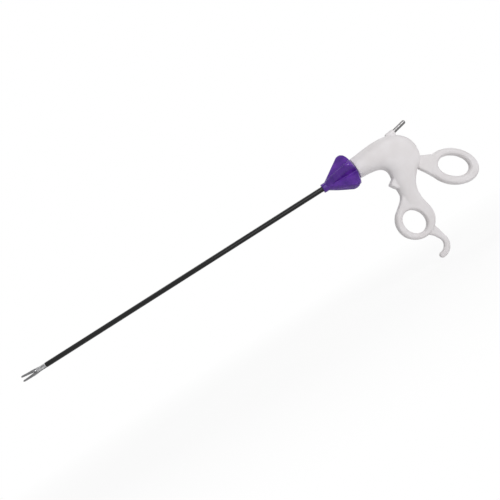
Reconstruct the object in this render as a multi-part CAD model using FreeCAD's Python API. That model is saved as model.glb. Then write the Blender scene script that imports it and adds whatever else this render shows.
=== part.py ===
import FreeCAD, Part
import math
import os

# Laparoscopic scissors, in millimetres.
# +X runs along the shaft from the blades to the handle, +Z is up, and the handle parts at y = 0.
# The origin is on the shaft's axis at the front face of the rotation knob.

V = FreeCAD.Vector

# Shaft
working_length = 330.0      # blade tips to the knob's front face
shaft_radius = 2.5          # over the insulation
sleeve_wall = 0.3
tube_wall = 0.35
rod_radius = 1.2
shaft_turn = -18.0          # how far the shaft is turned about its axis at rest

# Blades and their drive
blade_length = 18.4         # pivot to tip
blade_base = 0.95           # thickness inside the fork
blade_shoulder = 1.35       # thickness just in front of the fork
blade_heel = 1.05           # thickness where the ground blade starts
blade_tip = 0.6             # thickness at the tip
blade_back = 2.0            # height of the blade's back above the pivot
blade_hub_radius = 1.9
blade_curve_radius = 75.0   # the blades curve to the side over this radius
blade_curve_start = 3.0
cut_overlap = 0.3           # how far the cutting edges pass each other
rest_angle = 5.5            # each blade's angle to the axis at rest
open_angle = 25.0           # and fully open
closed_reach = 5.0          # pivot to cam pin, blades closed
open_reach = 2.5            # pivot to cam pin, blades open
pivot_pin_radius = 0.6
cam_pin_radius = 0.45
slot_wall = 0.5             # metal left round the cam slot
tang_half = 0.38            # half thickness of the rod's flat end
tang_height = 0.95
step_radius = 1.4           # full blade thickness inside this radius, thin tail outside
running = 0.02              # clearance between small metal pieces that move
side_play = 0.04
fork_front = 2.6            # pivot to the fork's front edge
fork_rear = 7.0             # pivot to the end of the sleeve
fork_radius = 2.3
fork_round = 3.3
fork_floor = 0.6            # solid ring behind the fork's slot
shank_length = 6.0

# Rotation knob
knob_lobes = 5
knob_first_lobe = 95.0      # degrees from -Y towards +Z
knob_collar_radius = 4.4
knob_collar_length = 5.0
knob_crest = 18.4
knob_length = 34.5
knob_wall = 2.0
flute_start = 4.6           # radius of the flutes' valleys at the knob's front face
flute_rise = 0.175          # and how fast they climb towards the rim
flute_leans = (50.0, 54.0, 67.0)    # degrees from the radius to each fold of a flute's wall
flute_fold = 5.2            # width of a fold at the rim
knob_boss_radius = 5.6

# Hub that turns in the handle's nose
hub_front = 20.0
hub_spigot_radius = 3.6
hub_journal_radius = 5.0
hub_flange_radius = 6.8
hub_flange_width = 2.0
hub_neck_radius = 4.0
hub_neck_length = 5.6
bearing_length = 10.0
bearing_wall = 2.0
bearing_play = 0.03
groove_depth = 0.8
seal_width = 1.6
seal_nut_wall = 1.2
seal_nut_grip = 0.66          # share of the hub's neck that the nut is screwed over
knob_gap = 0.3

# Handle
wall = 2.2
nose_gap = 0.7              # from the knob's rim to the front face of the barrel
barrel_radius = 10.0
nose_radius = 8.6           # short collar round the front bearing
trigger_x, trigger_z, trigger_radius = 49.5, -21.6, 10.1
body_half = 10.0
grip_half = 5.6
ring_half = 4.5
ring_bevel = 1.7
finger_x, finger_z = 55.7, -71.4
finger_long, finger_short, finger_tilt = 12.2, 9.95, -68.5
finger_band_long, finger_band_short = 6.6, 8.6
hook_x, hook_z, hook_path, hook_radius = 60.6, -101.0, 10.4, 2.8
hook_bevel = 1.1

# Thumb lever
pivot_x, pivot_drop = 70.0, 8.0
lever_hub_radius = 6.5
lever_half = 3.9
lever_bevel = 1.4
lever_gap = 0.5
lever_side_play = 0.1
thumb_x, thumb_z = 114.15, -46.9
thumb_long, thumb_short, thumb_tilt = 15.0, 9.5, -42.0
thumb_band_long, thumb_band_short = 8.9, 7.2
thumb_half = 4.4
thumb_bevel = 1.9
lever_pin_radius = 2.0
lever_bush_wall = 1.5
pin_boss_radius = 5.0
ball_radius = 3.0
ball_play = 0.06
fork_block_wall = 2.0
fork_block_half = 3.6
fork_block_top = 4.0
neck_half = 1.4

# Current pin
hf_radius = 2.0
hf_shank_radius = 1.6       # the pin inside its boss, behind the shoulder
hf_exit_x, hf_exit_z, hf_slope = 84.5, 9.7, 11.7
hf_inside = 8.5
hf_outside = 13.8
hf_boss_front, hf_boss_rear = 3.7, 3.0
leaf_width, leaf_thick = 3.0, 0.4

# Screws
screw_radius = 1.25
screw_head_radius = 2.3
screw_head_height = 1.8
screw_seat = 2.2
screw_depth = 3.2
screw_boss_radius = 3.4
screw_places = [(86.0, -2.5), (65.6, -27.0), (66.2, -44.0), (70.3, -76.0)]

# Values that follow from the ones above
rest = math.radians(rest_angle)
jaw_x = blade_length * math.cos(rest) - working_length
sleeve_end = jaw_x + fork_rear
angle_per_mm = math.radians(open_angle) / (closed_reach - open_reach)
rest_reach = closed_reach - rest / angle_per_mm
tube_radius = shaft_radius - sleeve_wall
tube_bore = tube_radius - tube_wall
pivot_z = -pivot_drop
lever_hub_half = lever_half + 0.1
nose_start = knob_length + nose_gap
bearing_start = knob_length + 2 * knob_gap
flange_start = bearing_start + bearing_length + knob_gap
hub_end = flange_start + hub_flange_width + hub_neck_length
trigger = V(trigger_x, 0, trigger_z)


def x_rod(x0, x1, radius):
    return Part.makeCylinder(radius, x1 - x0, V(x0, 0, 0), V(1, 0, 0))


def x_ring(x0, x1, outer, inner):
    return x_rod(x0, x1, outer).cut(x_rod(x0 - 1, x1 + 1, inner))


def y_rod(x, z, radius, y0, y1):
    return Part.makeCylinder(radius, y1 - y0, V(x, y0, z), V(0, 1, 0))


def box(x0, x1, y0, y1, z0, z1):
    return Part.makeBox(x1 - x0, y1 - y0, z1 - z0, V(x0, y0, z0))


def turned(points):
    """Solid of revolution about X of a closed outline of (x, radius) points."""
    corners = [V(x, 0, r) for x, r in points]
    face = Part.Face(Part.makePolygon(corners + corners[:1]))
    return face.revolve(V(0, 0, 0), V(1, 0, 0), 360)


def plate(wire, y0, y1):
    """Plate between two y values of an outline drawn in the y = 0 plane."""
    face = Part.Face(wire)
    face.translate(V(0, y0, 0))
    return face.extrude(V(0, y1 - y0, 0))


def polygon(points):
    corners = [V(x, 0, z) for x, z in points]
    return Part.makePolygon(corners + corners[:1])


def smooth(points):
    """Closed smooth outline through (x, z) points."""
    curve = Part.BSplineCurve()
    curve.interpolate(Points=[V(x, 0, z) for x, z in points], PeriodicFlag=True)
    return Part.Wire([curve.toShape()])


def oval(x, z, long_half, short_half, tilt):
    """Ellipse in the y = 0 plane, its long axis tilted from +X towards +Z."""
    edge = Part.Ellipse(V(0, 0, 0), long_half, short_half).toShape()
    edge.rotate(V(0, 0, 0), V(1, 0, 0), 90)
    edge.rotate(V(0, 0, 0), V(0, 1, 0), -tilt)
    edge.translate(V(x, 0, z))
    return Part.Wire([edge])


def tapered_bar(a, ra, b, rb, y0, y1):
    """Plate round two discs and the straight sides that touch both."""
    (ax, az), (bx, bz) = a, b
    reach = math.hypot(bx - ax, bz - az)
    heading = math.atan2(bz - az, bx - ax)
    lean = math.acos((ra - rb) / reach)

    def at(x, z, r, turn):
        return V(x + r * math.cos(heading + turn), 0, z + r * math.sin(heading + turn))

    sides = [Part.makeLine(at(ax, az, ra, lean), at(bx, bz, rb, lean)),
             Part.Arc(at(bx, bz, rb, lean), at(bx, bz, rb, 0), at(bx, bz, rb, -lean)).toShape(),
             Part.makeLine(at(bx, bz, rb, -lean), at(ax, az, ra, -lean)),
             Part.Arc(at(ax, az, ra, -lean), at(ax, az, ra, math.pi), at(ax, az, ra, lean)).toShape()]
    return plate(Part.Wire(sides), y0, y1)


def fuse(shapes):
    whole = shapes[0].fuse(shapes[1:]) if len(shapes) > 1 else shapes[0]
    return whole.removeSplitter()


def rim_edges(solid, y):
    """Edges of a plate that lie in the plane of one of its two faces."""
    return [e for e in solid.Edges if abs(e.BoundBox.YMin - y) < 1e-6 and abs(e.BoundBox.YMax - y) < 1e-6]


def set_in_shaft(shape):
    """Turn a piece of the jaws with the shaft to its place at rest."""
    shape.rotate(V(0, 0, 0), V(1, 0, 0), shaft_turn)
    return shape


# Jaws, built round the pivot as x = 0 and moved to it at the end

def bend(r):
    """Sideways offset of the blades' meeting face at distance r from the pivot."""
    past = max(r - blade_curve_start, 0.0)
    return math.sqrt(blade_curve_radius ** 2 - past ** 2) - blade_curve_radius


def blade_round(side):
    """Full round of blade section; its inner face slides on the other blade's at any angle."""
    shoulder_start, shoulder_end = fork_round + 0.3, 0.42 * blade_length
    reach = blade_length + 1
    middle = (shoulder_end + 0.8 + reach) / 2

    def p(r, off):
        return V(r, bend(r) + side * off, 0)

    def thick(r):
        share = (r - shoulder_end - 0.8) / (reach - shoulder_end - 0.8)
        return blade_heel + share * (blade_tip - blade_heel)

    inner_mid = (blade_curve_start + reach) / 2
    corners = [p(0, blade_base), p(shoulder_start, blade_base), p(shoulder_start + 0.6, blade_shoulder),
               p(shoulder_end, blade_shoulder), p(shoulder_end + 0.8, blade_heel)]
    edges = [Part.makeLine(a, b) for a, b in zip(corners, corners[1:])]
    edges.append(Part.Arc(corners[-1], p(middle, thick(middle)), p(reach, blade_tip)).toShape())
    edges.append(Part.makeLine(p(reach, blade_tip), p(reach, running)))
    edges.append(Part.Arc(p(reach, running), p(inner_mid, running), p(blade_curve_start, running)).toShape())
    edges.append(Part.makeLine(p(blade_curve_start, running), p(0, running)))
    edges.append(Part.makeLine(p(0, running), p(0, blade_base)))
    return Part.Face(Part.Wire(edges)).revolve(V(0, 0, 0), V(0, 1, 0), 360)


def cam_slot(lift):
    """Outline that the cam pin sweeps in the tail, so that angle and stroke keep one ratio."""
    half = cam_pin_radius + running
    steps = 8

    def centre(angle):
        reach = closed_reach - angle / angle_per_mm
        return V(reach * math.cos(angle), 0, lift * reach * math.sin(angle))

    def normal(angle):
        d = centre(angle + 0.001) - centre(angle - 0.001)
        return V(-d.z, 0, d.x).normalize()

    first, last = -0.02, math.radians(open_angle) + 0.02
    turns = [first + (last - first) * i / steps for i in range(steps + 1)]
    sides = []
    for way in (1, -1):
        curve = Part.BSplineCurve()
        curve.interpolate([centre(a) + normal(a) * (half * way) for a in turns])
        sides.append(curve.toShape())
    ends = []
    for a, way in ((first, -1), (last, 1)):
        ahead = (centre(a + 0.001) - centre(a - 0.001)).normalize() * (half * way)
        side = normal(a) * half
        ends.append(Part.Arc(centre(a) + side, centre(a) + ahead, centre(a) - side).toShape())
    return Part.Wire(Part.__sortEdges__(sides + ends))


def make_blade(side, lift):
    """One blade: side is the side of the mid-plane it lies on, lift the way it opens."""
    outline = polygon([(0, -blade_hub_radius * lift), (-fork_front, -1.2 * lift), (-3.4, -0.6 * lift),
                       (0.7 - blade_length, -cut_overlap * lift), (0.15 - blade_length, 0.1 * lift),
                       (0.05 - blade_length, 0.6 * lift), (0.35 - blade_length, 1.1 * lift),
                       (1.1 - blade_length, 1.4 * lift), (-0.42 * blade_length, blade_back * lift),
                       (-fork_front, (blade_back + 0.15) * lift), (0, (blade_back + 0.15) * lift)])
    front = blade_round(side).common(plate(outline, -8, 8))
    ys = sorted((side * running, side * blade_base))
    hub = y_rod(0, 0, step_radius, *ys)
    thin = sorted((side * (tang_half + side_play), side * blade_base))
    inner = (open_reach * math.cos(math.radians(open_angle)), lift * open_reach * math.sin(math.radians(open_angle)))
    outer = (closed_reach, 0)
    eye = cam_pin_radius + running + slot_wall
    tail = [tapered_bar((0, 0), blade_hub_radius, inner, eye, *thin),
            tapered_bar((0, 0), blade_hub_radius, outer, eye, *thin),
            tapered_bar(inner, eye, outer, eye, *thin)]
    blade = fuse([front, hub] + tail)
    blade = blade.cut(plate(cam_slot(lift), -3, 3))
    blade = blade.cut(y_rod(0, 0, pivot_pin_radius + running, -3, 3))
    blade.rotate(V(0, 0, 0), V(0, 1, 0), lift * rest_angle)
    blade.translate(V(jaw_x, 0, 0))
    return set_in_shaft(blade)


def make_clevis():
    slot_end = fork_rear - fork_floor
    half = blade_base + running
    body = x_rod(jaw_x - fork_front, sleeve_end, fork_radius)
    rounding = y_rod(jaw_x, 0, fork_round, -4, 4).fuse(box(jaw_x, sleeve_end, -4, 4, -4, 4))
    body = body.common(rounding)
    body = body.fuse(x_rod(sleeve_end, sleeve_end + shank_length, tube_bore))
    body = body.cut(box(jaw_x - fork_round - 1, jaw_x + slot_end, -half, half, -4, 4))
    body = body.cut(x_rod(jaw_x + 1, sleeve_end + shank_length + 1, rod_radius + 2 * running))
    body = body.cut(y_rod(jaw_x, 0, pivot_pin_radius, -4, 4))
    guide = cam_pin_radius + running
    ends = (jaw_x + open_reach - 0.1, 0), (jaw_x + closed_reach + 0.1, 0)
    body = body.cut(tapered_bar(ends[0], guide, ends[1], guide, -4, 4))
    return set_in_shaft(body.removeSplitter())


def make_blade_pivot_pin():
    half = fork_radius - 0.05
    pin = y_rod(jaw_x, 0, pivot_pin_radius, -half, half)
    pin = pin.makeChamfer(0.12, [e for e in pin.Edges if e.BoundBox.YLength < 0.01])
    return set_in_shaft(pin)


def make_cam_pin():
    half = fork_radius - 0.25
    return set_in_shaft(y_rod(jaw_x + rest_reach, 0, cam_pin_radius, -half, half))


def make_drive_rod():
    pin_x = jaw_x + rest_reach
    neck = sleeve_end + 1.0
    rod = x_rod(neck, pivot_x, rod_radius)
    tang = box(pin_x, neck, -tang_half, tang_half, -tang_height, tang_height)
    tang = tang.fuse(y_rod(pin_x, 0, tang_height, -tang_half, tang_half))
    rod = fuse([rod, tang]).cut(y_rod(pin_x, 0, cam_pin_radius, -3, 3))
    return set_in_shaft(rod)


# Shaft tubes

def make_outer_tube():
    return x_ring(sleeve_end, hub_end, tube_radius, tube_bore)


def make_insulation_sleeve():
    lip = 0.12
    return turned([(sleeve_end, tube_radius), (sleeve_end, shaft_radius - lip), (sleeve_end + 2 * lip, shaft_radius),
                   (0, shaft_radius), (0, tube_radius)])


# Rotation knob

def knob_outline():
    """Knob turned without its flutes, as (x, radius) points with the round of its rim."""
    flare_end = knob_length - 8.5
    points = [(knob_collar_length, 0), (knob_collar_length, knob_collar_radius + 0.3), (flare_end, knob_crest - 0.3)]
    points += [(flare_end + 2.0, knob_crest), (flare_end + 4.0, knob_crest - 0.2)]
    points += [(flare_end + 6.3, knob_crest - 2.0), (flare_end + 7.8, knob_crest - 5.0),
               (knob_length, knob_crest - 7.5), (knob_length, 0)]
    return points


def flutes(inset):
    """Valley-shaped finger flutes round the knob, deeper towards its rim; inset widens what they leave."""
    far = knob_length + 6.0
    drop = inset / math.sin(math.radians(flute_leans[1]))
    sections = []
    for share in (0.05, 1.0):
        height, side = flute_start + flute_rise * share * far - drop, 0.0
        wall_points = [(side, height)]
        for lean, fold in zip(flute_leans, (flute_fold * share, flute_fold * share, 3 * knob_crest)):
            height += fold * math.cos(math.radians(lean))
            side += fold * math.sin(math.radians(lean))
            wall_points.append((side, height))
        points = wall_points[::-1] + [(-y, z) for y, z in wall_points[1:]]
        corners = [V(share * far, y, z) for y, z in points]
        sections.append(Part.makePolygon(corners + corners[:1]))
    cutter = Part.makeLoft(sections, True, True)
    cuts = []
    for i in range(knob_lobes):
        cut = cutter.copy()
        cut.rotate(V(0, 0, 0), V(-1, 0, 0), knob_first_lobe - 90 + 360.0 * (i + 0.5) / knob_lobes)
        cuts.append(cut)
    return fuse(cuts)


def make_rotation_knob():
    body = turned(knob_outline()).cut(flutes(0.0))
    inner = [(x, r - knob_wall * 1.15) for x, r in knob_outline()[2:-2]]
    inner = [(knob_collar_length + 5.0, 0), (knob_collar_length + 5.0, knob_collar_radius + 0.8)] + inner
    inner += [(knob_length, knob_crest - 7.0 - knob_wall), (knob_length + 1, knob_crest - 7.0 - knob_wall),
              (knob_length + 1, 0)]
    hollow = turned(inner).cut(flutes(knob_wall))
    boss = x_rod(knob_collar_length, knob_length, knob_boss_radius)
    body = body.cut(hollow.cut(boss))
    collar = x_rod(0, knob_collar_length, knob_collar_radius)
    collar = collar.makeFillet(0.5, [e for e in collar.Edges if e.BoundBox.XMax < 0.01])
    body = fuse([body, collar])
    body = body.cut(x_rod(-1, knob_length, tube_radius))
    return body.cut(x_rod(hub_front, knob_length, hub_spigot_radius))


# Hub and seal

def make_shaft_hub():
    groove_x = bearing_start + bearing_length / 2
    groove = groove_depth / 2 + 0.1
    hub = turned([(hub_front, tube_radius), (hub_front, hub_spigot_radius), (knob_length, hub_spigot_radius),
                  (knob_length, hub_journal_radius), (flange_start, hub_journal_radius),
                  (flange_start, hub_flange_radius), (flange_start + hub_flange_width, hub_flange_radius),
                  (flange_start + hub_flange_width, hub_neck_radius), (hub_end, hub_neck_radius),
                  (hub_end, tube_radius)])
    return hub.cut(x_ring(groove_x - groove, groove_x + groove, hub_journal_radius + 1,
                          hub_journal_radius - groove_depth))


def make_friction_ring():
    middle = bearing_start + bearing_length / 2
    return x_ring(middle - groove_depth / 2, middle + groove_depth / 2, hub_journal_radius,
                  hub_journal_radius - groove_depth)


def make_front_bearing():
    inner = hub_journal_radius + bearing_play
    return x_ring(bearing_start, bearing_start + bearing_length, inner + bearing_wall, inner)


def make_rod_seal():
    return x_ring(hub_end, hub_end + seal_width, hub_neck_radius, rod_radius + bearing_play)


def make_seal_nut():
    outer = hub_neck_radius + seal_nut_wall
    start = hub_end - seal_nut_grip * hub_neck_length
    end = hub_end + seal_width + seal_nut_wall
    nut = x_ring(start, end, outer, rod_radius + 0.3)
    return nut.cut(x_rod(start - 1, end - seal_nut_wall, hub_neck_radius))


def make_rod_ball():
    ball = Part.makeSphere(ball_radius, V(pivot_x, 0, 0))
    return ball.cut(x_rod(pivot_x - 2 * ball_radius, pivot_x, rod_radius))


# Handle

def section_poles(station, steps):
    """Control points and knots of the rounded half section of a station at y < 0.

    A station is the inner and outer (x, z) point of a section, its half width and its squareness.
    """
    inner, outer, half, square = station
    a, b = V(inner[0], 0, inner[1]), V(outer[0], 0, outer[1])
    middle, arm = (a + b) * 0.5, (b - a) * 0.5
    points = [b]
    for i in range(1, steps):
        c, s = math.cos(math.pi * i / steps), math.sin(math.pi * i / steps)
        u = math.copysign(abs(c) ** (2 / square), c)
        points.append(middle + arm * u - V(0, half * s ** (2 / square), 0))
    section = Part.BSplineCurve()
    outward = V(0, -math.pi * half, 0)
    section.interpolate(Points=points + [a], Parameters=[i / steps for i in range(steps + 1)],
                        InitialTangent=outward, FinalTangent=-outward, Scale=False)
    return section.getPoles(), section.getMultiplicities(), section.getKnots()


def sewn(faces):
    shell = Part.makeShell(faces)
    shell.sewShape()
    solid = Part.makeSolid(shell)
    if solid.Volume < 0:
        solid.reverse()
    return solid


def on_parting_plane(skin):
    return [e for e in skin.Edges if abs(e.BoundBox.YMin) < 1e-3 and abs(e.BoundBox.YMax) < 1e-3]


def half_skin(stations, steps=8):
    """Solid of the half at y < 0 that runs smoothly through rounded sections."""
    rows = [section_poles(station, steps) for station in stations]
    spans = len(rows) - 3
    surface = Part.BSplineSurface()
    surface.buildFromPolesMultsKnots([r[0] for r in rows], [4] + [1] * (spans - 1) + [4], rows[0][1],
                                     list(range(spans + 1)), rows[0][2], False, False, 3, 3)
    skin = surface.toShape()
    seams = on_parting_plane(skin)
    faces = [skin]
    closing = []
    for row in (rows[0][0], rows[-1][0]):
        line = Part.makeLine(row[0], row[-1])
        closing.append(line)
        arc = min((e for e in skin.Edges if e not in seams),
                  key=lambda e: (e.CenterOfMass - (row[0] + row[-1]) * 0.5).Length)
        faces.append(Part.Face(Part.Wire(Part.__sortEdges__([arc, line]))))
    faces.append(Part.Face(Part.Wire(Part.__sortEdges__(seams + closing))))
    return sewn(faces)


def bevelled(form, half, bevel):
    """A plate's form with its rims bevelled at y = -half, and at y = half where it has one there."""
    return form.makeChamfer(bevel, rim_edges(form, -half) + rim_edges(form, half))


def fan(turn, reach):
    """Point at a distance from the centre of the trigger arc."""
    a = math.radians(turn)
    return trigger_x + reach * math.cos(a), trigger_z + reach * math.sin(a)


def handle_stations():
    """Side outline and half width of the handle, from the barrel's nose down to the finger ring."""
    arc = trigger_radius
    return [((nose_start, -barrel_radius - 0.6), (nose_start, barrel_radius - 0.4), barrel_radius, 2.0),
            ((42.0, -barrel_radius - 1.0), (42.0, barrel_radius + 0.2), barrel_radius + 0.2, 2.0),
            (fan(90, arc - 0.5), (trigger_x, barrel_radius + 1.1), body_half + 0.4, 2.1),
            (fan(70, arc - 0.8), fan(70, 35.5), body_half + 0.4, 2.3),
            (fan(50, arc - 0.4), fan(50, 42.4), body_half + 0.2, 2.5),
            (fan(30, arc), fan(30, 47.9), body_half, 2.6),
            (fan(12, arc), fan(12, 47.4), body_half - 0.2, 2.6),
            (fan(-5, arc), fan(-5, 43.8), body_half - 0.6, 2.5),
            ((58.6, -27.6), (84.8, -31.2), body_half - 1.4, 2.5),
            ((57.4, -34.0), (78.4, -37.2), 0.5 * (body_half + grip_half), 2.4),
            ((57.6, -41.0), (75.3, -43.4), grip_half + 1.0, 2.3),
            ((56.9, -47.6), (73.4, -50.4), grip_half, 2.3),
            ((54.5, -54.5), (73.2, -58.0), ring_half + 0.3, 2.3)]


def spur():
    """Pointed finger guard below the trigger arc."""
    edge = [(13.5, -3.4), (8.5, -6.0), (5.4, -8.0), (4.2, -9.2),
            (5.2, -11.0), (7.3, -14.2), (12.5, -19.4)]
    guard = plate(polygon([(trigger_x + x, trigger_z + z) for x, z in edge]), -grip_half, 0)
    return bevelled(guard, grip_half, 1.2)


def finger_ring():
    outside = oval(finger_x + 1.5, finger_z + 1.2, finger_long + finger_band_long,
                   finger_short + finger_band_short, 90)
    hole = oval(finger_x, finger_z, finger_long, finger_short, finger_tilt)
    return bevelled(plate(outside, -ring_half, 0).cut(plate(hole, -ring_half - 1, 1)), ring_half, ring_bevel)


def ring_neck():
    """Flared plate that leads from the grip into the finger ring on both sides."""
    edge = [(1.7, 26.9), (-0.5, 23.4), (-3.3, 20.9), (-8.5, 16.9), (0.3, 13.4), (10.3, 14.4), (14.3, 7.4),
            (17.8, 1.4), (19.9, 3.9), (18.9, 9.4), (18.0, 13.4), (17.6, 16.9), (17.9, 21.4), (6.3, 25.4)]
    neck = plate(polygon([(finger_x + x, finger_z + z) for x, z in edge]), -ring_half, 0)
    return bevelled(neck, ring_half, 1.2)


def hook():
    """Round hook below the finger ring, with its flared root and round end."""
    end = -86.0

    def at(radius, turn):
        a = math.radians(turn)
        return V(hook_x + radius * math.cos(a), 0, hook_z + radius * math.sin(a))

    near, far = hook_path - hook_radius, hook_path + hook_radius
    tip = at(hook_path, end) + V(math.sin(math.radians(end)), 0, -math.cos(math.radians(end))) * hook_radius
    root = [at(near, 42), V(64.3, 0, -92.4), V(61.4, 0, -89.6), V(58.0, 0, -87.4), V(59.0, 0, -84.0),
            V(69.0, 0, -79.0), V(70.2, 0, -85.4), V(71.6, 0, -90.4), at(far, 25)]
    edges = [Part.Arc(at(far, 25), at(far, -30), at(far, end)).toShape(),
             Part.Arc(at(far, end), tip, at(near, end)).toShape(),
             Part.Arc(at(near, end), at(near, -20), at(near, 42)).toShape()]
    edges += [Part.makeLine(a, b) for a, b in zip(root, root[1:])]
    hole = oval(finger_x, finger_z, finger_long + 2, finger_short + 2, finger_tilt)
    bar = plate(Part.Wire(Part.__sortEdges__(edges)), -hook_radius, 0).cut(plate(hole, -hook_radius - 1, 1))
    return bevelled(bar, hook_radius, hook_bevel)


def hf_axis():
    slope = math.radians(hf_slope)
    return V(math.cos(slope), 0, math.sin(slope))


def hf_boss():
    exit_at = V(hf_exit_x, 0, hf_exit_z)
    return Part.makeCone(hf_boss_front, hf_boss_rear, hf_inside, exit_at - hf_axis() * hf_inside, hf_axis())


def inset_outline(depth):
    """Outline of the handle's upper part, drawn in by a depth, as (x, z) points."""
    ends = [(V(a[0], 0, a[1]), V(b[0], 0, b[1])) for a, b, half, square in handle_stations()[:10]]
    settled = [ends[0]]
    for before, here, after in zip(ends, ends[1:], ends[2:]):
        settled.append(tuple((p + q * 4 + r) * (1 / 6) for p, q, r in zip(before, here, after)))
    inner, outer = [], []
    for a, b in settled:
        inward = (b - a).normalize() * depth
        inner.append((a.x + inward.x, a.z + inward.z))
        outer.append((b.x - inward.x, b.z - inward.z))
    return polygon(inner + outer[::-1])


def handle_cavity():
    """Hollow of the half at y < 0 with its bosses left standing."""
    barrel = x_rod(nose_start, trigger_x + 6.0, barrel_radius - wall)
    barrel = barrel.common(box(0, 200, -2 * barrel_radius, 0, -barrel_radius, barrel_radius))
    hollow = fuse([plate(inset_outline(wall + 0.5), -0.45 * body_half, 0), barrel,
                   plate(inset_outline(wall + 3.6), wall + 1.4 - body_half, 0)
                   .common(box(trigger_x, 200, -2 * body_half, 0, -200, 200))])
    keep = [x_rod(nose_start - 1, flange_start - knob_gap, barrel_radius - 1), hf_boss(),
            y_rod(pivot_x, pivot_z, pin_boss_radius, -2 * body_half, -lever_hub_half - lever_side_play)]
    for x, z in screw_places:
        keep.append(y_rod(x, z, screw_boss_radius, -2 * body_half, 2 * body_half))
    return hollow.cut(fuse(keep))


def lever_mouth():
    """Slot in the back of the handle that the lever's arm swings in."""
    half = lever_half + lever_gap
    reach = 48.0
    points = [(pivot_x, pivot_z)]
    for turn in (-14, -24, -34, -44, -54, -65):
        a = math.radians(turn)
        points.append((pivot_x + reach * math.cos(a), pivot_z + reach * math.sin(a)))
    return plate(polygon(points), -half, half)


def handle_half():
    """Half of the handle at y < 0 before its screw holes are made."""
    far = 4 * body_half
    boss = hf_boss().common(box(0, 200, -far, 0, -far, far))
    nose = x_rod(bearing_start - knob_gap, nose_start + wall, nose_radius).common(box(0, 60, -far, 0, -far, far))
    form = fuse([half_skin(handle_stations()), finger_ring(), ring_neck(), hook(), spur(), boss, nose])
    form = form.cut(handle_cavity())
    form = form.cut(lever_mouth())
    bearing_seat = hub_journal_radius + bearing_play + bearing_wall
    form = form.cut(x_rod(bearing_start, flange_start - knob_gap + 0.01, bearing_seat))
    form = form.cut(x_rod(knob_length - 1, bearing_start + 1, hub_journal_radius + 0.4))
    start = V(hf_exit_x, 0, hf_exit_z) - hf_axis() * (hf_inside + 1)
    form = form.cut(Part.makeCylinder(hf_shank_radius, hf_inside + 10, start, hf_axis()))
    return form.cut(y_rod(pivot_x, pivot_z, lever_pin_radius, -body_half + wall, body_half - wall))


def make_handle_halves():
    left = handle_half()
    right = left.mirror(V(0, 0, 0), V(0, 1, 0))
    for x, z in screw_places:
        left = left.cut(y_rod(x, z, screw_radius, -screw_depth, 1))
        right = right.cut(y_rod(x, z, screw_radius, -1, screw_seat + 1))
        right = right.cut(y_rod(x, z, screw_head_radius + 0.2, screw_seat, 2 * body_half))
    return left, right


def make_handle_screws():
    screws = []
    for x, z in screw_places:
        shank = y_rod(x, z, screw_radius, -screw_depth, screw_seat)
        head = y_rod(x, z, screw_head_radius, screw_seat, screw_seat + screw_head_height)
        socket = y_rod(x, z, 0.9, screw_seat + 0.6, screw_seat + 5)
        screws.append(shank.fuse(head).cut(socket).removeSplitter())
    return Part.makeCompound(screws)


# Thumb lever

def lever_fork_block():
    reach = ball_radius + ball_play + fork_block_wall
    return box(pivot_x - reach, pivot_x + reach, -fork_block_half, fork_block_half,
               -ball_radius - fork_block_wall, fork_block_top)


def make_lever_fork():
    """Steel socket that carries the rod's ball, open at the top and to the front."""
    bore = Part.makeCylinder(ball_radius + ball_play, 20, V(pivot_x, 0, -ball_radius - 0.4), V(0, 0, 1))
    neck = box(pivot_x - 20, pivot_x, -neck_half, neck_half, -neck_half - 0.6, 20)
    block = lever_fork_block().cut(bore).cut(neck)
    return block.cut(y_rod(pivot_x, pivot_z, lever_pin_radius + lever_bush_wall, -20, 20))


def make_thumb_lever():
    edge = [(-4.0, -5.5), (4.2, -12.2), (13.2, -20.6), (16.4, -26.6), (19.6, -31.4),
            (23.0, -38.0), (27.4, -40.0), (32.6, -30.0), (35.2, -23.0), (32.0, -18.6),
            (26.6, -16.2), (21.2, -13.4), (12.5, -3.8), (4.5, 4.6)]
    arm = plate(polygon([(pivot_x + x, pivot_z + z) for x, z in edge]), -lever_half, lever_half)
    arm = bevelled(arm, lever_half, lever_bevel)
    hub = y_rod(pivot_x, pivot_z, lever_hub_radius, -lever_hub_half, lever_hub_half)
    hole = oval(thumb_x, thumb_z, thumb_long, thumb_short, thumb_tilt)
    outside = oval(thumb_x - 0.7, thumb_z - 0.4, thumb_long + thumb_band_long, thumb_short + thumb_band_short,
                   thumb_tilt)
    arm = arm.cut(plate(oval(thumb_x, thumb_z, thumb_long + 2, thumb_short + 2, thumb_tilt), -9, 9))
    ring = plate(outside, -thumb_half, thumb_half).cut(plate(hole, -thumb_half - 1, thumb_half + 1))
    lever = fuse([arm, hub, bevelled(ring, thumb_half, thumb_bevel)])
    lever = lever.cut(lever_fork_block())
    return lever.cut(y_rod(pivot_x, pivot_z, lever_pin_radius + lever_bush_wall, -20, 20))


def make_lever_bush():
    outer = lever_pin_radius + lever_bush_wall
    bush = y_rod(pivot_x, pivot_z, outer, -lever_hub_half, lever_hub_half)
    return bush.cut(y_rod(pivot_x, pivot_z, lever_pin_radius + bearing_play, -20, 20))


def make_lever_pivot_pin():
    half = body_half - wall
    return y_rod(pivot_x, pivot_z, lever_pin_radius, -half, half)


# Current pin

def make_hf_pin():
    """Plug pin whose shoulder stands on its boss, on a thinner shank that reaches the contact spring."""
    start = V(hf_exit_x, 0, hf_exit_z) - hf_axis() * hf_inside
    total = hf_inside + hf_outside
    pin = turned([(0, 0), (0, hf_shank_radius), (hf_inside, hf_shank_radius), (hf_inside, hf_radius),
                  (total - 0.8, hf_radius), (total, hf_radius - 0.8), (total, 0)])
    pin.rotate(V(0, 0, 0), V(0, 1, 0), -hf_slope)
    pin.translate(start)
    return pin


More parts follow.
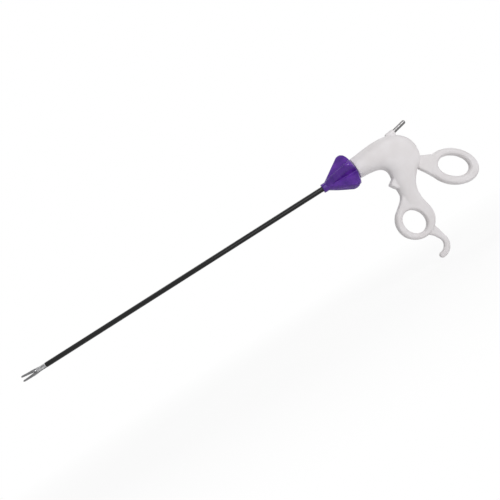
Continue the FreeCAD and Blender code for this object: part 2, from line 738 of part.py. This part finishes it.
def make_contact_spring():
    """Leaf from the current pin down onto the nut behind the seal."""
    start = V(hf_exit_x, 0, hf_exit_z) - hf_axis() * hf_inside
    nut_top = hub_neck_radius + seal_nut_wall
    touch_x = hub_end - 1.0
    path = [(start.x + 0.28, start.z - 1.8), (start.x - 3.0, start.z - 1.8), (touch_x + 5.0, nut_top + 0.9),
            (touch_x, nut_top + 0.05), (touch_x - 2.5, nut_top + 0.9)]
    upper = [(x, z + leaf_thick) for x, z in reversed(path)]
    return plate(polygon(path + upper), -leaf_width / 2, leaf_width / 2)


def build():
    left, right = make_handle_halves()
    return {"blade_upper": make_blade(-1, 1),
            "blade_lower": make_blade(1, -1),
            "clevis": make_clevis(),
            "blade_pivot_pin": make_blade_pivot_pin(),
            "cam_pin": make_cam_pin(),
            "drive_rod": make_drive_rod(),
            "rod_ball": make_rod_ball(),
            "outer_tube": make_outer_tube(),
            "insulation_sleeve": make_insulation_sleeve(),
            "rotation_knob": make_rotation_knob(),
            "shaft_hub": make_shaft_hub(),
            "friction_ring": make_friction_ring(),
            "front_bearing": make_front_bearing(),
            "rod_seal": make_rod_seal(),
            "seal_nut": make_seal_nut(),
            "handle_shell_left": left,
            "handle_shell_right": right,
            "handle_screws": make_handle_screws(),
            "thumb_lever": make_thumb_lever(),
            "lever_fork": make_lever_fork(),
            "lever_bush": make_lever_bush(),
            "lever_pivot_pin": make_lever_pivot_pin(),
            "hf_pin": make_hf_pin(),
            "contact_spring": make_contact_spring()}


os.makedirs("parts", exist_ok=True)
for name, shape in build().items():
    shape.exportStep(f"parts/{name}.step")
    print(name, "valid" if shape.isValid() else "NOT VALID", len(shape.Solids), round(shape.Volume, 3))
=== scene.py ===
# Laparoscopic scissors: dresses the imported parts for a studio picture.
# Metres. +X runs from the blades to the handle, +Z is up, the camera stands at -Y.
import math

import bmesh
import bpy
import numpy as np
from mathutils import Matrix, Vector


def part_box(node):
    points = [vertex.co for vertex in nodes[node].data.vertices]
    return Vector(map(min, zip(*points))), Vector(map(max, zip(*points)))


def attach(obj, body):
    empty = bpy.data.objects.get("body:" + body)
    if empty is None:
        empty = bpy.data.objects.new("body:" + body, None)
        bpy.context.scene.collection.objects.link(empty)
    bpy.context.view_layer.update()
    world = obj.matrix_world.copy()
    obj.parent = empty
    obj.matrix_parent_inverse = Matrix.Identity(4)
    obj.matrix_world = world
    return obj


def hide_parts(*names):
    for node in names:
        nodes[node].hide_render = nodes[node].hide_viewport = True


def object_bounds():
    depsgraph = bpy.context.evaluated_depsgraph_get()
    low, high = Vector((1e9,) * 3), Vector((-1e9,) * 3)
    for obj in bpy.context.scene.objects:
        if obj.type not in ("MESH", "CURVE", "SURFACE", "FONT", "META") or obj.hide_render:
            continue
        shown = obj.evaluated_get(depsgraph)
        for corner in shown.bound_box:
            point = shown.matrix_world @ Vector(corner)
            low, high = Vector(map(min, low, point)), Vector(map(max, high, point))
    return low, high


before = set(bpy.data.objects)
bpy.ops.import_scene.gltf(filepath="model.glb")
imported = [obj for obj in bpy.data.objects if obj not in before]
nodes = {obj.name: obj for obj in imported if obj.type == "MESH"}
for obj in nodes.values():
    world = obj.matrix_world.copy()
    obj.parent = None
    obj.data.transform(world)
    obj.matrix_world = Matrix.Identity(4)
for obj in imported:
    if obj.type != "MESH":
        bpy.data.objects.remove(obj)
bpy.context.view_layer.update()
mm = 0.001


class Wire:
    # one output socket, with arithmetic that adds its Math nodes
    def __init__(self, tree, socket):
        self.tree = tree
        self.socket = socket

    def calc(self, operation, first, second):
        return addNode(self.tree, "ShaderNodeMath", {"operation": operation}, {0: first, 1: second})

    def __add__(self, other):
        return self.calc("ADD", self, other)

    def __mul__(self, other):
        return self.calc("MULTIPLY", self, other)

    __radd__ = __add__
    __rmul__ = __mul__


def addNode(tree, kind, settings=None, sockets=None, output=0):
    node = tree.nodes.new(kind)
    for name, value in (settings or {}).items():
        setattr(node, name, value)
    for name, value in (sockets or {}).items():
        target = node.inputs[name]
        if isinstance(value, Wire):
            tree.links.new(value.socket, target)
        else:
            target.default_value = (*value, 1) if target.type == "RGBA" else value
    return Wire(tree, node.outputs[output])


class Finish:
    # a material with its principled shader and the textures that vary it
    def __init__(self, name, **shader):
        self.material = bpy.data.materials.new(name)
        self.material.use_nodes = True
        self.tree = self.material.node_tree
        self.shader = self.tree.nodes["Principled BSDF"]
        for socket, value in shader.items():
            self.shader.inputs[socket.replace("_", " ")].default_value = value
        self.place = self.add("ShaderNodeTexCoord", output="Object")

    def add(self, kind, settings=None, sockets=None, output=0):
        return addNode(self.tree, kind, settings, sockets, output)

    def stretched(self, x, y, z):
        return self.add("ShaderNodeMapping", {}, {"Vector": self.place, "Scale": (x, y, z)})

    def noise(self, scale, detail, rough=0.55, place=None):
        sockets = {"Vector": place or self.place, "Scale": scale, "Detail": detail, "Roughness": rough}
        return self.add("ShaderNodeTexNoise", {}, sockets, "Fac")

    def blendColours(self, mask, first, second):
        return self.add("ShaderNodeMix", {"data_type": "RGBA"}, {0: mask, 6: first, 7: second}, 2)

    def spread(self, mask, low, high, fromLow, fromHigh):
        return self.add("ShaderNodeMapRange", {}, {0: mask, 1: fromLow, 2: fromHigh, 3: low, 4: high})

    def bump(self, height, distance, strength, normal=None):
        sockets = {"Height": height, "Distance": distance * mm, "Strength": strength}
        if normal:
            sockets["Normal"] = normal
        return self.add("ShaderNodeBump", {}, sockets)

    def set(self, **wires):
        for socket, wire in wires.items():
            self.tree.links.new(wire.socket, self.shader.inputs[socket.replace("_", " ")])
        return self.material


# Plastics and rubber. rough is the span from the shiny spots to the dull ones.

handleTone = {"light": (0.775, 0.75, 0.76), "deep": (0.73, 0.70, 0.705), "rough": (0.36, 0.5), "shine": 0.3,
              "clouds": 55, "flow": 300, "grain": 7000}


def handlePlastic():
    finish = Finish("handlePlastic", Specular_IOR_Level=handleTone["shine"])
    clouds = finish.noise(handleTone["clouds"], 4)
    speck = finish.noise(handleTone["grain"], 2)
    flow = finish.noise(handleTone["flow"], 3, 0.5, finish.stretched(0.35, 1, 1))
    colour = finish.blendColours(finish.spread(clouds, 0, 1, 0.35, 0.65), handleTone["light"], handleTone["deep"])
    rough = finish.spread(clouds * 0.6 + flow * 0.4, *handleTone["rough"], 0.35, 0.65)
    normal = finish.bump(speck, 0.02, 0.35, finish.bump(flow, 0.05, 0.25))
    return finish.set(Base_Color=colour, Roughness=rough, Normal=normal)


knobTone = {"light": (0.125, 0.027, 0.36), "deep": (0.055, 0.009, 0.205), "rough": (0.14, 0.24), "shine": 0.3,
            "clouds": 120, "grain": 5200}


def knobPlastic():
    finish = Finish("knobPlastic", Specular_IOR_Level=knobTone["shine"])
    clouds = finish.noise(knobTone["clouds"], 4)
    speck = finish.noise(knobTone["grain"], 2)
    colour = finish.blendColours(finish.spread(clouds, 0, 1, 0.3, 0.7), knobTone["light"], knobTone["deep"])
    rough = finish.spread(clouds, *knobTone["rough"], 0.3, 0.7)
    return finish.set(Base_Color=colour, Roughness=rough, Normal=finish.bump(speck, 0.015, 0.3))


sleeveTone = {"light": (0.001, 0.001, 0.0012), "deep": (0.003, 0.0029, 0.003), "rough": (0.12, 0.2), "shine": 0.3,
              "streaks": 900, "grain": 4200}


def insulation():
    # drawn tube, with faint streaks along the shaft
    finish = Finish("insulation", Specular_IOR_Level=sleeveTone["shine"])
    streaks = finish.noise(sleeveTone["streaks"], 4, 0.6, finish.stretched(0.04, 1, 1))
    speck = finish.noise(sleeveTone["grain"], 2)
    colour = finish.blendColours(finish.spread(streaks, 0, 1, 0.3, 0.7), sleeveTone["light"], sleeveTone["deep"])
    rough = finish.spread(streaks, *sleeveTone["rough"], 0.3, 0.7)
    normal = finish.bump(streaks, 0.006, 0.3, finish.bump(speck, 0.004, 0.25))
    return finish.set(Base_Color=colour, Roughness=rough, Normal=normal)


softTones = {
    "bearing_plastic": {"light": (0.72, 0.70, 0.64), "deep": (0.6, 0.58, 0.52), "rough": (0.4, 0.55)},
    "seal_rubber": {"light": (0.03, 0.03, 0.032), "deep": (0.015, 0.015, 0.016), "rough": (0.6, 0.8)},
}


def plainPlastic(name, tone):
    finish = Finish(name, Specular_IOR_Level=0.4)
    clouds = finish.noise(160, 4)
    colour = finish.blendColours(finish.spread(clouds, 0, 1, 0.3, 0.7), tone["light"], tone["deep"])
    rough = finish.spread(clouds, *tone["rough"], 0.3, 0.7)
    normal = finish.bump(finish.noise(4200, 2), 0.015, 0.4)
    return finish.set(Base_Color=colour, Roughness=rough, Normal=normal)


# Metals. lie squeezes the brush marks along x, y and z, and a small value draws them out that way.

metalTones = {
    "blade_steel": {"light": (0.24, 0.24, 0.245), "deep": (0.11, 0.11, 0.113), "rough": (0.12, 0.3),
                    "lie": (1, 0.2, 0.2)},
    "jaw_steel": {"light": (0.5, 0.5, 0.51), "deep": (0.28, 0.28, 0.285), "rough": (0.1, 0.26),
                  "lie": (0.15, 1, 1)},
    "rod_steel": {"light": (0.62, 0.62, 0.63), "deep": (0.5, 0.5, 0.51), "rough": (0.2, 0.35),
                  "lie": (0.1, 1, 1)},
    "tube_steel": {"light": (0.60, 0.60, 0.61), "deep": (0.48, 0.48, 0.49), "rough": (0.22, 0.36),
                   "lie": (0.1, 1, 1)},
    "brass_parts": {"light": (0.72, 0.52, 0.24), "deep": (0.6, 0.42, 0.18), "rough": (0.25, 0.42),
                    "lie": (1, 0.2, 0.2)},
    "screw_steel": {"light": (0.55, 0.55, 0.56), "deep": (0.4, 0.4, 0.41), "rough": (0.28, 0.45),
                    "lie": (1, 1, 1)},
    "contact_metal": {"light": (0.24, 0.235, 0.235), "deep": (0.10, 0.10, 0.10), "rough": (0.1, 0.26),
                      "lie": (1, 0.3, 1)},
    "spring_bronze": {"light": (0.66, 0.44, 0.22), "deep": (0.5, 0.32, 0.15), "rough": (0.25, 0.4),
                      "lie": (0.15, 1, 1)},
}


def brushedMetal(name, tone):
    finish = Finish(name, Metallic=1.0)
    marks = finish.noise(2600, 3, 0.6, finish.stretched(*tone["lie"]))
    stains = finish.noise(420, 4)
    mask = finish.spread(stains * 0.6 + marks * 0.4, 0, 1, 0.35, 0.65)
    colour = finish.blendColours(mask, tone["light"], tone["deep"])
    rough = finish.spread(marks * 0.6 + stains * 0.4, *tone["rough"], 0.35, 0.65)
    return finish.set(Base_Color=colour, Roughness=rough, Normal=finish.bump(marks, 0.006, 0.5))


def camelCase(slotName):
    first, *others = slotName.split("_")
    return first + "".join(word.capitalize() for word in others)


finishes = {"handle_plastic": handlePlastic(), "knob_plastic": knobPlastic(), "insulation": insulation()}
for slotName, tone in softTones.items():
    finishes[slotName] = plainPlastic(camelCase(slotName), tone)
for slotName, tone in metalTones.items():
    finishes[slotName] = brushedMetal(camelCase(slotName), tone)
for node in nodes.values():
    for slot in node.material_slots:
        slot.material = finishes[slot.material.name]
print("finishes made:", len(finishes))


def addPiece(name, mesh, slotName, body, *replaced):
    piece = bpy.data.objects.new(name, mesh)
    bpy.context.scene.collection.objects.link(piece)
    mesh.materials.clear()
    mesh.materials.append(finishes[slotName])
    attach(piece, body)
    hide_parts(*replaced)


# Moulded pieces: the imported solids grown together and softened, so that every edge is rounded.
# voxel in mm, rounds of softening, keep: the share of the faces that stay

handleMoulding = {"voxel": 0.42, "rounds": 9, "keep": 0.5, "seam": 0.05}    # seam: gap between the halves, mm
leverMoulding = {"voxel": 0.42, "rounds": 9, "keep": 0.5}
knobMoulding = {"voxel": 0.3, "rounds": 4, "keep": 0.6}


def meshOf(nodeNames):
    joined = bmesh.new()
    for name in nodeNames:
        joined.from_mesh(nodes[name].data)
    bmesh.ops.remove_doubles(joined, verts=joined.verts, dist=0.002 * mm)
    mesh = bpy.data.meshes.new("solid")
    joined.to_mesh(mesh)
    joined.free()
    return mesh


def applyModifiers(piece):
    bpy.context.view_layer.update()
    result = piece.evaluated_get(bpy.context.evaluated_depsgraph_get())
    mesh = bpy.data.meshes.new_from_object(result)
    piece.modifiers.clear()
    piece.data = mesh


def relax(mesh, rounds):
    # moves each point halfway to the mean of its neighbours
    count = len(mesh.vertices)
    points = np.empty(count * 3)
    mesh.vertices.foreach_get("co", points)
    points = points.reshape(-1, 3)
    ends = np.empty(len(mesh.edges) * 2, int)
    mesh.edges.foreach_get("vertices", ends)
    first, second = ends[0::2], ends[1::2]
    links = np.bincount(first, minlength=count) + np.bincount(second, minlength=count)
    for turn in range(rounds):
        total = np.zeros_like(points)
        for axis in range(3):
            total[:, axis] = (np.bincount(first, points[second, axis], count)
                              + np.bincount(second, points[first, axis], count))
        points += 0.5 * (total / links[:, None] - points)
    mesh.vertices.foreach_set("co", points.ravel())
    mesh.update()


def softened(nodeNames, sizes):
    shell = bpy.data.objects.new("shell", meshOf(nodeNames))
    bpy.context.scene.collection.objects.link(shell)
    grow = shell.modifiers.new("grow", "REMESH")
    grow.mode = "VOXEL"
    grow.voxel_size = sizes["voxel"] * mm
    applyModifiers(shell)
    relax(shell.data, sizes["rounds"])
    thin = shell.modifiers.new("thin", "DECIMATE")
    thin.ratio = sizes["keep"]
    applyModifiers(shell)
    mesh = shell.data
    bpy.data.objects.remove(shell)
    mesh.shade_smooth()
    return mesh


def halfOf(mesh, side):
    # keeps what lies on one side of the parting plane and closes the cut
    seam = side * handleMoulding["seam"] * mm / 2
    half = bmesh.new()
    half.from_mesh(mesh)
    everything = half.verts[:] + half.edges[:] + half.faces[:]
    cut = bmesh.ops.bisect_plane(half, geom=everything, plane_co=(0, seam, 0), plane_no=(0, side, 0),
                                 clear_inner=True)
    rim = [part for part in cut["geom_cut"] if isinstance(part, bmesh.types.BMEdge)]
    bmesh.ops.triangle_fill(half, use_beauty=True, use_dissolve=False, edges=rim)
    bmesh.ops.recalc_face_normals(half, faces=half.faces)
    for edge in rim:
        edge.smooth = False
    result = bpy.data.meshes.new("half")
    half.to_mesh(result)
    half.free()
    return result


bothHalves = softened(["handle_shell_left", "handle_shell_right"], handleMoulding)
addPiece("leftHandleCover", halfOf(bothHalves, -1), "handle_plastic", "handle", "handle_shell_left")
addPiece("rightHandleCover", halfOf(bothHalves, 1), "handle_plastic", "handle", "handle_shell_right")
print("handle covers moulded")

thumbLever = softened(["thumb_lever"], leverMoulding)
addPiece("thumbLeverMoulding", thumbLever, "handle_plastic", "lever", "thumb_lever")
print("thumb lever moulded")

knob = softened(["rotation_knob"], knobMoulding)
addPiece("knobMoulding", knob, "knob_plastic", "shaft", "rotation_knob")
print("knob moulded")


# Sleeve: a round tube with a softly rolled front edge, in mm

sleeveTube = {"sides": 96, "wall": 0.29, "lip": 0.12, "crease": 40}    # crease: degrees


def turned(profile, sides):
    # sweeps a closed profile of (x, radius) about the shaft's axis
    tube = bmesh.new()
    angles = np.linspace(0, 2 * math.pi, sides, endpoint=False)
    rings = [[tube.verts.new((x, r * math.cos(a), r * math.sin(a))) for a in angles] for x, r in profile]
    for ring, following in zip(rings, rings[1:] + rings[:1]):
        for side in range(sides):
            tube.faces.new((ring[side - 1], ring[side], following[side], following[side - 1]))
    bmesh.ops.recalc_face_normals(tube, faces=tube.faces)
    mesh = bpy.data.meshes.new("tube")
    tube.to_mesh(mesh)
    tube.free()
    mesh.shade_smooth()
    mesh.set_sharp_from_angle(angle=math.radians(sleeveTube["crease"]))
    return mesh


def sleeveProfile():
    low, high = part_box("insulation_sleeve")
    lip = sleeveTube["lip"] * mm
    bore = high.z - sleeveTube["wall"] * mm
    rolled = [(low.x + lip * (1 - math.sin(a)), high.z - lip * (1 - math.cos(a)))
              for a in np.radians((90, 60, 30, 0))]
    return [(low.x, bore), *rolled, (high.x, high.z), (high.x, bore)]


sleeve = turned(sleeveProfile(), sleeveTube["sides"])
addPiece("sleeveTube", sleeve, "insulation", "shaft", "insulation_sleeve")
print("sleeve turned")


# Camera: centre (x, z), distance and half the picture's width in mm, roll in degrees

view = {"centre": (-87.4, -11.6), "distance": 600.0, "halfWidth": 232.5, "roll": 32.461}


def addCamera():
    turn = math.radians(view["roll"])
    right = Vector((math.cos(turn), 0, -math.sin(turn)))
    up = Vector((math.sin(turn), 0, math.cos(turn)))
    back = Vector((0, -1, 0))
    place = Vector((view["centre"][0], -view["distance"], view["centre"][1])) * mm
    lens = bpy.data.cameras.new("camera")
    lens.angle = 2 * math.atan(view["halfWidth"] / view["distance"])
    lens.clip_start = 0.01
    camera = bpy.data.objects.new("camera", lens)
    camera.matrix_world = Matrix((right, up, back)).transposed().to_4x4()
    camera.matrix_world.translation = place
    bpy.context.scene.collection.objects.link(camera)
    bpy.context.scene.camera = camera
    return right, up


# Lamps: how far up, right and near in the picture, and how much higher, each stands from the middle, in m

middle = Vector((-0.05, 0, -0.02))
softboxes = {
    "key": {"up": 0.72, "right": 0.12, "near": 0.82, "higher": 0, "size": (0.6, 0.3), "watts": 4.7},
    "front": {"up": 0.1, "right": 0.08, "near": 1.1, "higher": 0, "size": (0.75, 0.55), "watts": 2.9},
    "top": {"up": 0, "right": 0, "near": -0.35, "higher": 0.9, "size": (0.9, 0.4), "watts": 2.2},
}


def addSoftbox(name, box, right, up):
    offset = up * box["up"] + right * box["right"] + Vector((0, -box["near"], box["higher"]))
    lamp = bpy.data.lights.new(name, "AREA")
    lamp.shape = "RECTANGLE"
    lamp.size, lamp.size_y = box["size"]
    lamp.energy = box["watts"]
    stand = bpy.data.objects.new(name, lamp)
    stand.location = middle + offset
    stand.rotation_euler = (-offset).to_track_quat("-Z", "Y").to_euler()
    bpy.context.scene.collection.objects.link(stand)


def seenRays(tree):
    # one for rays from the camera, in a mirror or through glass
    path = tree.nodes.new("ShaderNodeLightPath")
    camera, glossy, through = [Wire(tree, path.outputs[name])
                               for name in ("Is Camera Ray", "Is Glossy Ray", "Is Transmission Ray")]
    return camera.calc("MAXIMUM", camera.calc("MAXIMUM", camera, glossy), through)


room = {"light": 0.24}    # strength of the light that comes from all round


def addWorld():
    world = bpy.data.worlds.new("studio")
    bpy.context.scene.world = world
    world.use_nodes = True
    tree = world.node_tree
    tree.nodes.clear()
    around = addNode(tree, "ShaderNodeBackground", {}, {"Color": (1, 1, 1), "Strength": room["light"]})
    white = addNode(tree, "ShaderNodeBackground", {}, {"Color": (1, 1, 1), "Strength": 1.0})
    mixed = addNode(tree, "ShaderNodeMixShader", {}, {0: seenRays(tree), 1: around, 2: white})
    out = tree.nodes.new("ShaderNodeOutputWorld")
    tree.links.new(mixed.socket, out.inputs["Surface"])


# Floor: a round sheet of pale paper that keeps the shadow near the scissors and turns white further out.
# drop in mm, radius and fade in m; white is the share of plain white near the scissors;
# squeeze and shift turn the fade's circle into an ellipse round them

paperFloor = {"tone": (0.95, 0.95, 0.95), "rough": 0.9, "radius": 4.0, "sides": 64, "drop": 3.0,
              "white": 0.9, "fade": (0.1, 0.3), "squeeze": (0.45, 1, 0), "shift": (0.045, 0, 0)}


def addFloor():
    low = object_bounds()[0][2] - paperFloor["drop"] * mm
    radius, sides = paperFloor["radius"], paperFloor["sides"]
    angles = np.linspace(0, 2 * math.pi, sides, endpoint=False)
    rim = [(radius * math.cos(a), radius * math.sin(a), low) for a in angles]
    mesh = bpy.data.meshes.new("floor")
    mesh.from_pydata(rim, [], [list(range(sides))])
    floor = bpy.data.objects.new("floor", mesh)
    bpy.context.scene.collection.objects.link(floor)
    material = bpy.data.materials.new("floorPaper")
    material.use_nodes = True
    tree = material.node_tree
    paper = tree.nodes["Principled BSDF"]
    paper.inputs["Base Color"].default_value = (*paperFloor["tone"], 1)
    paper.inputs["Roughness"].default_value = paperFloor["rough"]
    spot = addNode(tree, "ShaderNodeTexCoord", output="Object")
    spot = addNode(tree, "ShaderNodeVectorMath", {"operation": "MULTIPLY_ADD"},
                   {0: spot, 1: paperFloor["squeeze"], 2: paperFloor["shift"]})
    away = addNode(tree, "ShaderNodeVectorMath", {"operation": "LENGTH"}, {0: spot}, "Value")
    near, far = paperFloor["fade"]
    fade = addNode(tree, "ShaderNodeMapRange", {}, {0: away, 1: near, 2: far, 3: paperFloor["white"], 4: 1.0})
    white = addNode(tree, "ShaderNodeEmission", {}, {"Color": (1, 1, 1), "Strength": 1.0})
    sockets = {0: seenRays(tree) * fade, 1: Wire(tree, paper.outputs[0]), 2: white}
    mixed = addNode(tree, "ShaderNodeMixShader", {}, sockets)
    tree.links.new(mixed.socket, tree.nodes["Material Output"].inputs["Surface"])
    mesh.materials.append(material)


right, up = addCamera()
for name, box in softboxes.items():
    addSoftbox(name, box, right, up)
addWorld()
addFloor()
bpy.context.scene.view_settings.view_transform = "Standard"
print("studio set")
